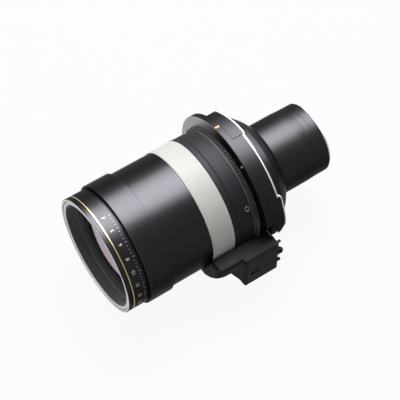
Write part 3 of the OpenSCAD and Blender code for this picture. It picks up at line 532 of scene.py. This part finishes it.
class LensColours(bpy.types.PropertyGroup):
    """The colours of the lens's finishes."""

    black: colour("Barrel black", "Satin black of the barrels", (0.0180, 0.0178, 0.0196))
    ring_black: colour("Ring black", "Gloss black of the name ring", (0.0195, 0.0195, 0.0212))
    hood_black: colour("Hood black", "Dull black inside the hood", (0.042, 0.042, 0.046))
    gear_black: colour("Gear black", "Moulded zoom gear ring", (0.075, 0.076, 0.08))
    charcoal: colour("Charcoal", "Powder coat of the main barrel", (0.0165, 0.0166, 0.0188))
    silver: colour("Silver", "Paint of the broad band", (0.66, 0.65, 0.62))
    steel: colour("Steel", "Bare bright metal", (0.80, 0.80, 0.80))
    bare_face: colour("Bare face", "Machined front face of the flange", (0.62, 0.62, 0.63))
    gold: colour("Gold", "The thin line and the brass parts", (0.48, 0.37, 0.17))
    grey_metal: colour("Grey metal", "The front trim and the ring in the rear end", (0.72, 0.72, 0.73))
    glass: colour("Glass", "Tint of the inner lenses", (0.88, 0.91, 0.92))
    coated_glass: colour("Coated glass", "Tint of the front glass, straight on", (0.040, 0.028, 0.038))
    film: colour("Film", "Colour that the coated glass reflects at a low angle", (0.60, 0.52, 0.56))
    orange: colour("Orange", "The index mark", (0.86, 0.42, 0.03))
    plastic: colour("Plastic", "The drive housing", (0.0048, 0.0049, 0.006))
    board: colour("Board", "Solder mask of the circuit board", (0.01, 0.09, 0.04))
    white: colour("White", "The scale on the name ring", (0.78, 0.78, 0.76))


class LensSizes(bpy.types.PropertyGroup):
    """The sizes of the dressed pieces that a user would change."""

    edge: length("Edge radius", "Radius on the turned edges", 0.00035)
    line_edge: length("Line edge", "Radius on the edges of the thin metal line", 0.00012)
    numeral: length("Numeral height", "Height of the numbers of the scale", 0.0037)
    mark_long: length("Long mark", "Length of a numbered mark of the scale", 0.0022)
    mark_short: length("Short mark", "Length of a mark between two numbers", 0.0012)
    mark_width: length("Mark width", "Width of a mark of the scale", 0.00032)
    paint_depth: length("Paint thickness", "How far the scale's paint stands out", 0.00003)
    arc_steps: IntProperty(name="Arc steps", description="Steps on each rounded edge", default=4, min=1,
                           max=8)


class StageSizes(bpy.types.PropertyGroup):
    """The studio: the floor and the lamps."""

    floor_side: length("Floor side", "Length of the floor's side", 8.0)
    key_power: amount("Key power", "Power of the upper softbox in watts", 19.0)
    fill_power: amount("Fill power", "Power of the front lamp in watts", 4.0)
    shine_power: amount("Shine power", "Power in watts of the upper lamp seen only in gloss", 140.0)
    back_power: amount("Back power", "Power in watts of the lamp behind seen only in gloss", 60.0)
    sky: amount("Sky", "Strength of the white room on dull surfaces", 0.2)
    floor_white: amount("Floor white", "Share of the floor that looks plain white", 0.93, max=1)


class LensSettings(bpy.types.PropertyGroup):
    """All of the settings of the lens and its studio."""

    colours: PointerProperty(type=LensColours)
    sizes: PointerProperty(type=LensSizes)
    stage: PointerProperty(type=StageSizes)


# The finishes by name, filled by the first step
MATERIALS = {}

# CAD nodes whose finish is a variant of their slot's
OWN_FINISH = {
    "mount_flange": "flange_black",
    "bayonet_ring": "mount_black",
    "edge_ring": "grey_matte",
    "zoom_gear_ring": "gear_black",
    "barrel_screws": "gear_black",
}


class LENS_OT_finish_nodes(bpy.types.Operator):
    """Make the finishes and give each CAD node the one that its slot names"""

    bl_idname = "lens.finish_nodes"
    bl_label = "Finish the solid parts"

    def execute(self, context):
        MATERIALS.clear()
        MATERIALS.update(make_materials(context.scene.lens.colours))
        for row in frame["record"]["subparts"]:
            node = frame["nodes"][row["node"]]
            node.data.materials.clear()
            finish = OWN_FINISH.get(row["node"], row["material_slot"])
            node.data.materials.append(MATERIALS[finish])
        return {"FINISHED"}


class LENS_OT_front_rings(bpy.types.Operator):
    """Turn the trim ring and the black floor of its groove, a painted shade, the ridged name ring, the
    metal line and the retaining ring
    """

    bl_idname = "lens.front_rings"
    bl_label = "Turn the front rings"

    def execute(self, context):
        sizes = context.scene.lens.sizes
        edge, steps = sizes.edge / MM, sizes.arc_steps
        body = "focus_front"

        # The trim ring's face is dished, from its outer edge down to its inner one, round a groove.
        trim_r, rim, trim_back = span("trim_ring")
        trim_bore, face_in = 57.5, 58.3
        chamfer = 0.3
        groove_r, groove_half, groove_floor = (trim_r + 58.5) / 2, 0.35, rim + 1.1
        inner, outer = groove_r - groove_half, groove_r + groove_half
        turn("trim_ring_turned", [
            (face_in, rim + 1.05, 0.15), (inner, rim + 0.55, 0.15), (inner, groove_floor, CRISP),
            (outer, groove_floor, CRISP), (outer, rim + 0.25, 0.15), (trim_r - chamfer, rim, SLIGHT),
            (trim_r, rim + chamfer, SLIGHT), (trim_r, trim_back, CRISP), (trim_bore, trim_back, CRISP),
            (trim_bore, groove_floor, CRISP),
        ], edge, steps, body, "grey_metal", "trim_ring")
        # A gloss black sheet at the floor of the trim ring's groove: painted shade that darkens the
        # groove.
        groove_shade_floor = rim + 0.9
        turn("trim_groove_turned", [(inner, groove_shade_floor), (outer, groove_shade_floor), (outer, groove_floor),
                                    (inner, groove_floor)], CRISP, steps, body, "gloss_black")

        # The light trap: ridges with their crests inwards, from the trim ring back, and a plain wall
        # on to the seat of the retaining ring. Only the crests are paler, partly worn and partly with a
        # painted highlight.
        ring_r, ring_front, ring_back = span("name_ring")
        crest, depth, count, pitch = 56.4, 1.0, 9, 1.25
        seat, trap_r = -154.5, 58.4
        ridges = []
        for at in trim_back + pitch * np.arange(count):
            ridges += [(crest, at, 0.08), (crest + depth, at + pitch / 2, 0.08)]
        ridges_end = trim_back + count * pitch
        outline = ridges + [(crest, ridges_end, SLIGHT), (crest, seat, CRISP), (trap_r, seat, CRISP),
                            (trap_r, trim_back, CRISP)]
        points, normals, _ = filleted(outline, edge, steps)
        crests = (points[:, 0] < crest + 0.3) & (points[:, 1] < ridges_end + 0.1 * pitch)
        settle(turned_mesh("light_trap_turned", points, normals, crests.astype(float)), body,
               "matte_black", "name_ring")

        # The name ring round it, with a groove for the metal line.
        line_r, line_front, line_back = span("metal_line")
        thread_r, line_floor, play = 60.0, ring_r - 0.8, 0.02
        turn("name_ring_turned", [
            (trap_r, trim_back), (trap_r, seat), (thread_r, seat, CRISP), (thread_r, ring_back, CRISP),
            (ring_r - 1.2, ring_back, SLIGHT), (ring_r, ring_back - 0.5, edge),
            (ring_r, line_back + play, 0.06), (line_floor, line_back + play, CRISP),
            (line_floor, line_front - play, CRISP), (ring_r, line_front - play, 0.06),
            (ring_r, ring_front + chamfer, 0.15), (ring_r - chamfer, ring_front, SLIGHT),
            (trim_r, ring_front, CRISP), (trim_r, trim_back, CRISP),
        ], CRISP, steps, body, "gloss_black", "name_ring")

        soft = sizes.line_edge / MM
        turn("metal_line_turned", [(line_floor, line_front), (line_r, line_front, soft),
                                   (line_r, line_back, soft), (line_floor, line_back)],
             CRISP, steps, body, "gold_metal", "metal_line")

        # The retaining ring: a cone that ends in a small lip over the glass.
        cone_front, glass_r, lip_r = span("front_retaining_ring")[1], 54.5, 54.0
        turn("retaining_ring_turned", [
            (crest, cone_front), (crest, seat), (glass_r, seat), (glass_r, seat - 2.6),
            (lip_r, seat - 3, SLIGHT), (lip_r, seat - 4, 0.2), (crest - 1.4, cone_front, 0.2),
        ], SLIGHT, steps, body, "matte_black", "front_retaining_ring")
        return {"FINISHED"}


class LENS_OT_front_glass(bpy.types.Operator):
    """Grind the front lens element, whose front face is smooth and curved"""

    bl_idname = "lens.front_glass"
    bl_label = "Grind the front glass"

    def execute(self, context):
        glass_r = 54.4
        front_edge, bulge = -157.4, 7.6
        back_y, almost_flat = -145.5, 0.001
        front, front_normals = dome(glass_r, front_edge, bulge, -1)
        back, back_normals = dome(glass_r, back_y, almost_flat, 1)
        points = np.vstack([front[::-1], back])
        normals = np.vstack([front_normals[::-1], back_normals])
        settle(turned_mesh("front_element_ground", points, normals, segments=192), "focus_front",
               "coated_glass", "front_element")
        return {"FINISHED"}


class LENS_OT_scale(bpy.types.Operator):
    """Paint a plain scale of marks and numbers round the name ring"""

    bl_idname = "lens.scale"
    bl_label = "Paint the scale"

    def execute(self, context):
        sizes = context.scene.lens.sizes
        radius = span("name_ring")[0] * MM
        numbers = ("30", "20", "15", "12", "10", "8", "6", "5", "4")
        first_angle, mark_step, marks_a_number = -25, 3.5, 4
        mark_y, numeral_y = -157.8 * MM, -161.2 * MM
        verts, faces = [], []

        def add(flat, polygons, degrees, y):
            """Wraps flat (u, v, w) points round the ring: angle = u / radius, y = -v, outwards = w."""
            angle = math.radians(degrees) + flat[:, 0] / radius
            reach = radius + flat[:, 2]
            start = sum(len(v) for v in verts)
            verts.append(np.stack([reach * np.cos(angle), y - flat[:, 1], reach * np.sin(angle)], 1))
            faces.extend([[start + i for i in face] for face in polygons])

        for i, text in enumerate(numbers):
            add(*numeral_mesh(text, sizes.numeral, sizes.paint_depth),
                first_angle + i * marks_a_number * mark_step, numeral_y)
        for i in range((len(numbers) - 1) * marks_a_number + 1):
            tall = sizes.mark_short if i % marks_a_number else sizes.mark_long
            add(*mark_box(sizes.mark_width, tall, sizes.paint_depth), first_angle + i * mark_step,
                mark_y + tall)
        piece = solid("scale_marks", np.vstack(verts), faces)
        piece.data.polygons.foreach_set("use_smooth", np.zeros(len(piece.data.polygons), bool))
        settle(piece, "focus_front", "silver_satin", finish="white_paint")
        return {"FINISHED"}


def numeral_mesh(text, height, depth):
    """A number as a flat mesh of (u, v, w) points, centred on u, with w from 0 to depth."""
    digit_share = 0.7  # of the font's size, which a digit's height takes
    curve = bpy.data.curves.new("numeral", "FONT")
    curve.body = text
    curve.size = height / digit_share
    curve.align_x = "CENTER"
    curve.extrude = depth / 2
    curve.resolution_u = 3
    holder = bpy.data.objects.new("numeral", curve)
    bpy.context.scene.collection.objects.link(holder)
    bpy.context.view_layer.update()
    mesh = bpy.data.meshes.new_from_object(holder.evaluated_get(bpy.context.evaluated_depsgraph_get()))
    flat = np.zeros(len(mesh.vertices) * 3)
    mesh.vertices.foreach_get("co", flat)
    flat = flat.reshape(-1, 3) + (0, 0, depth / 2)
    polygons = [list(p.vertices) for p in mesh.polygons]
    bpy.data.objects.remove(holder)
    bpy.data.curves.remove(curve)
    bpy.data.meshes.remove(mesh)
    return flat, polygons


def mark_box(width, tall, depth):
    """A small box of (u, v, w) points: width across u, tall along v, depth along w."""
    half = width / 2
    corners = np.array([(u, v, w) for w in (0, depth) for v in (0, tall) for u in (-half, half)])
    return corners, [[0, 2, 3, 1], [4, 5, 7, 6], [0, 1, 5, 4], [2, 6, 7, 3], [0, 4, 6, 2], [1, 3, 7, 5]]


def screw_rims(angles, y, surface, radius, section):
    """Thin rounded rings on the barrel, one round each screw.

    Each is centre + (radius + section cos v)(cos u e1 + sin u e2) + section sin v n, where n points out
    of the barrel, e1 along it and e2 across it."""
    around, sides = 48, 8
    u, v = np.meshgrid(np.arange(around) * 2 * np.pi / around, np.arange(sides) * 2 * np.pi / sides,
                       indexing="ij")
    j, k = np.meshgrid(np.arange(around), np.arange(sides), indexing="ij")
    next_j, next_k = (j + 1) % around, (k + 1) % sides
    quads = np.stack([j * sides + k, next_j * sides + k, next_j * sides + next_k, j * sides + next_k], 2)
    along = np.array([0, 1, 0])
    verts, faces = [], []
    for n, a in enumerate(np.radians(angles)):
        out = np.array([math.cos(a), 0, math.sin(a)])
        across = np.array([-math.sin(a), 0, math.cos(a)])
        centre = out * surface + along * y
        wide = (radius + section * np.cos(v))[..., None]
        ring = centre + wide * (np.cos(u)[..., None] * along + np.sin(u)[..., None] * across) \
            + section * np.sin(v)[..., None] * out
        verts.append(ring.reshape(-1, 3) * MM)
        faces += (quads.reshape(-1, 4) + n * u.size).tolist()
    return solid("barrel_screw_rims", np.vstack(verts), faces)


class LENS_OT_barrels(bpy.types.Operator):
    """Turn the front barrel, the rims of the screws, the shoulder, the rear barrel and its end ring"""

    bl_idname = "lens.barrels"
    bl_label = "Turn the barrels"

    def execute(self, context):
        sizes = context.scene.lens.sizes
        edge, steps = sizes.edge / MM, sizes.arc_steps

        # The bore is wider along the stretch where the keys run.
        r, _, back = span("front_barrel")
        name_back = span("name_ring")[2]
        groove_end = name_back + 2.3
        thread_r, groove_r, bore, key_bore = 60.0, 62.0, 64.25, 65.15
        key_front, bore_front = back - 15, back - 16
        turn("front_barrel_turned", [
            (thread_r, name_back), (groove_r, name_back, SLIGHT), (groove_r, groove_end, 0.3),
            (r - 0.6, groove_end, SLIGHT), (r, groove_end + 0.6, edge), (r, back - 0.5, edge),
            (r - 0.5, back, SLIGHT), (key_bore, back, CRISP), (key_bore, key_front, CRISP),
            (bore, key_front, CRISP), (bore, bore_front, CRISP), (thread_r, bore_front, CRISP),
        ], CRISP, steps, "focus_front", "satin_black", "front_barrel")

        rims = screw_rims(angles=(30.6, 150.6, 270.6), y=-30.8, surface=64.75, radius=2.6, section=0.17)
        settle(rims, "lens_body", "grey_metal", finish="rear_metal")

        # The shoulder runs straight behind the seat, then falls in ever steeper slopes.
        r, front, shoulder_back = span("mount_shoulder")
        root = 38.5
        turn("mount_shoulder_turned", [
            (root, front), (r, front, SLIGHT), (r, 1.6, 0.6), (r - 1.6, 6, 1.5), (r - 5.4, 12, 1.5),
            (53.8, 19.9, edge), (46.2, shoulder_back, 0.8), (root, shoulder_back, SLIGHT),
        ], CRISP, steps, "lens_body", "satin_black", "mount_shoulder")

        # Two shallow grooves run round the rear barrel's slim end: how far each starts from the end,
        # and how far the edge before it, its floor and the edge behind it stand out from end_r.
        r, front, back = span("rear_barrel")
        end_r, slim_from = 39.2, 62
        grooves = []
        for start, before, floor, behind in ((16, 0.15, -0.2, 0.1), (9.5, 0.05, -0.25, 0)):
            at = back - start
            grooves += [(end_r + before, at, 0.2), (end_r + floor, at + 0.3, SLIGHT),
                        (end_r + floor, at + 0.8, SLIGHT), (end_r + behind, at + 1.1, 0.2)]
        tube_r, ring_r, stop_r = 36, 37.6, 34.5
        ring_len, stop_front = 4, back - 14
        turn("rear_barrel_turned", [
            (tube_r, front), (root, front), (root, shoulder_back), (r, shoulder_back),
            (r, slim_from, 2), *grooves, (end_r, back, SLIGHT), (ring_r, back),
            (ring_r, back - ring_len), (stop_r, back - ring_len), (stop_r, stop_front),
            (tube_r, stop_front),
        ], CRISP, steps, "lens_body", "satin_black", "rear_barrel", finish="rear_black")

        _, front, back = span("rear_ring")
        opening = 33.4
        turn("rear_ring_turned", [
            (opening, front + 0.3), (stop_r, front), (ring_r, front), (ring_r, front + ring_len),
            (end_r - 0.4, front + ring_len, 0.15), (end_r - 1.6, back, edge), (tube_r, back, 0.2),
            (opening, back - 3.7, 0.2),
        ], CRISP, steps, "lens_body", "grey_metal", "rear_ring", finish="rear_metal")
        return {"FINISHED"}


# The point that the lamps face, and each lamp's place from it and its width and depth in metres, with
# whether it only shows in glossy surfaces
LAMPS_FACE = Vector((0, -0.05, 0))
LAMPS = {
    "key": ((-0.37, 0.25, 1.30), (0.9, 0.9), False),
    "fill": ((-0.8, -1.1, 0.6), (0.6, 0.6), False),
    "shine": ((-0.46, 0.40, 1.24), (1.25, 1.25), True),
    "back": ((-0.38, 1.35, 0.38), (0.9, 0.8), True),
}
FLOOR_GAP = 0.2 * MM

# The photograph's camera: its place in metres, its lens in millimetres, the way it looks and which way
# its picture's right side points
CAMERA_PLACE = Vector((0.6372, -0.4789, 1.1595))
CAMERA_LENS = 122.53
CAMERA_SENSOR = 36
CAMERA_LOOKS = Vector((-0.45665, 0.30786, -0.83468))
CAMERA_RIGHT = Vector((0.559, 0.829, 0))


class LENS_OT_stage(bpy.types.Operator):
    """Lay the white floor, hang the lamps and set the camera at the photograph's angle"""

    bl_idname = "lens.stage"
    bl_label = "Set the stage"

    def execute(self, context):
        stage = context.scene.lens.stage
        scene = context.scene
        low = CAD_BOX[0].z - FLOOR_GAP
        half = stage.floor_side / 2
        corners = [(-half, -half, low), (half, -half, low), (half, half, low), (-half, half, low)]
        mesh = bpy.data.meshes.new("floor")
        mesh.from_pydata(corners, [], [[0, 1, 2, 3]])
        floor = bpy.data.objects.new("floor", mesh)
        scene.collection.objects.link(floor)
        mesh.materials.append(white_floor(stage.floor_white))
        scene.world = white_room(stage.sky)
        for name, (place, size, only_glossy) in LAMPS.items():
            light = lamp(f"{name}_softbox", LAMPS_FACE + Vector(place), LAMPS_FACE, size,
                         getattr(stage, f"{name}_power"))
            light.visible_diffuse = not only_glossy
        scene.camera = photo_camera()
        scene.view_settings.view_transform = "Standard"
        return {"FINISHED"}


def white_floor(share):
    """A pale floor that shows mostly plain white and still takes the object's soft shadow."""
    paint = Paint("white_floor", Roughness=0.9, Specular_IOR_Level=0.1)
    dark, light = (0.55, 0.55, 0.55), (0.6, 0.6, 0.6)
    paint.set("Base Color", paint.mix(paint.noise(300, 2), dark, light))
    glow = paint.node("ShaderNodeEmission", {}, {"Color": (1, 1, 1, 1)})
    shaded = Signal(paint, paint.shader.outputs[0])
    white = paint.seen_directly() * share
    blend = paint.node("ShaderNodeMixShader", {}, {0: white, 1: shaded, 2: glow})
    paint.feed(paint.tree.nodes["Material Output"].inputs[0], blend)
    return paint.material


def white_room(sky):
    """A white world: full white where it is seen, and a plainer level where it only lights."""
    world = bpy.data.worlds.new("white_room")
    world.use_nodes = True
    nodes = Nodes(world.node_tree)
    background = nodes.tree.nodes["Background"].inputs
    level = nodes.node("ShaderNodeMapRange", {},
                       {"Value": nodes.seen_directly(), "To Min": sky, "To Max": 1.0})
    nodes.feed(background["Strength"], level)
    nodes.feed(background["Color"], (1, 1, 1, 1))
    return world


def lamp(name, at, target, size, power):
    """A soft rectangular lamp that points at the target."""
    data = bpy.data.lights.new(name, "AREA")
    data.shape = "RECTANGLE"
    data.size, data.size_y = size
    data.energy = power
    thing = bpy.data.objects.new(name, data)
    thing.location = at
    thing.rotation_euler = (at - target).to_track_quat("Z", "Y").to_euler()
    bpy.context.scene.collection.objects.link(thing)
    return thing


def photo_camera():
    """The camera at the photograph's place and angle, framed for a square picture."""
    data = bpy.data.cameras.new("photo_camera")
    data.lens = CAMERA_LENS
    data.sensor_width = CAMERA_SENSOR
    thing = bpy.data.objects.new("photo_camera", data)
    bpy.context.scene.collection.objects.link(thing)
    forward = CAMERA_LOOKS.normalized()
    up = CAMERA_RIGHT.normalized().cross(forward).normalized()
    right = forward.cross(up).normalized()
    turned = Matrix((right, up, -forward)).transposed().to_4x4()
    turned.translation = CAMERA_PLACE
    thing.matrix_world = turned
    return thing


class LENS_PT_panel(bpy.types.Panel):
    """Lists the steps that dress the lens"""

    bl_idname = "LENS_PT_panel"
    bl_label = "Projection lens"
    bl_space_type = "VIEW_3D"
    bl_region_type = "UI"
    bl_category = "Lens"

    def draw(self, context):
        for step in STEPS:
            self.layout.operator(step.bl_idname)
        for group in (context.scene.lens.colours, context.scene.lens.sizes, context.scene.lens.stage):
            for name in group.bl_rna.properties.keys():
                if name not in ("rna_type", "name"):
                    self.layout.prop(group, name)


GROUPS = (LensColours, LensSizes, StageSizes, LensSettings)
STEPS = (LENS_OT_finish_nodes, LENS_OT_front_rings, LENS_OT_front_glass, LENS_OT_scale, LENS_OT_barrels,
         LENS_OT_stage)


def register():
    for cls in GROUPS + STEPS + (LENS_PT_panel,):
        bpy.utils.register_class(cls)
    bpy.types.Scene.lens = PointerProperty(type=LensSettings)


def unregister():
    del bpy.types.Scene.lens
    for cls in reversed(GROUPS + STEPS + (LENS_PT_panel,)):
        bpy.utils.unregister_class(cls)


def main():
    register()
    for step in STEPS:
        group, name = step.bl_idname.split(".")
        if getattr(getattr(bpy.ops, group), name)() != {"FINISHED"}:
            raise RuntimeError(f"{step.bl_idname} did not finish")


if __name__ == "__main__":
    main()
